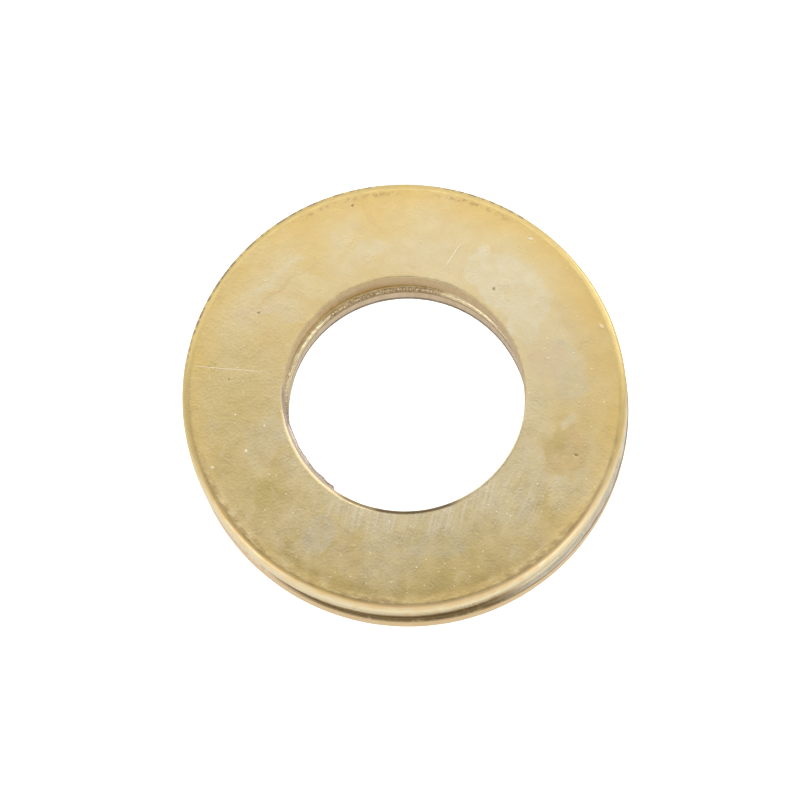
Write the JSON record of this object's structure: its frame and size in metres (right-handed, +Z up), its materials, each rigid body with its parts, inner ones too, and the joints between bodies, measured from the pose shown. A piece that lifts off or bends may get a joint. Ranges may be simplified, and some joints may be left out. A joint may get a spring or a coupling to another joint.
{
  "type": "flat washer",
  "caption": "Plain flat washers lying loose one on the other: round stamped steel discs with a central clearance bore, rolled and torn edges.",
  "frame": {"origin": "middle of the stack on the surface that it lies on, halfway between the two washers' axes", "axes": "+Z up along both washers' axes, +X to the side that the lower washer has slipped towards, -Y to the front"},
  "size_m": [0.0242, 0.0242, 0.0032],
  "materials": {
    "yellow_zinc_plate": "bright zinc plate with a pale yellow passivated skin, softly clouded and lightly scuffed"
  },
  "bodies": {
    "lower_washer": {"lower_washer": "yellow_zinc_plate"},
    "upper_washer": {"upper_washer": "yellow_zinc_plate"}
  },
  "joints": [
    {"name": "upper_washer_lift", "type": "slide", "parent": "lower_washer", "child": "upper_washer", "axis": [0, 0, 1], "range_m": [0, 0.012]}
  ]
}
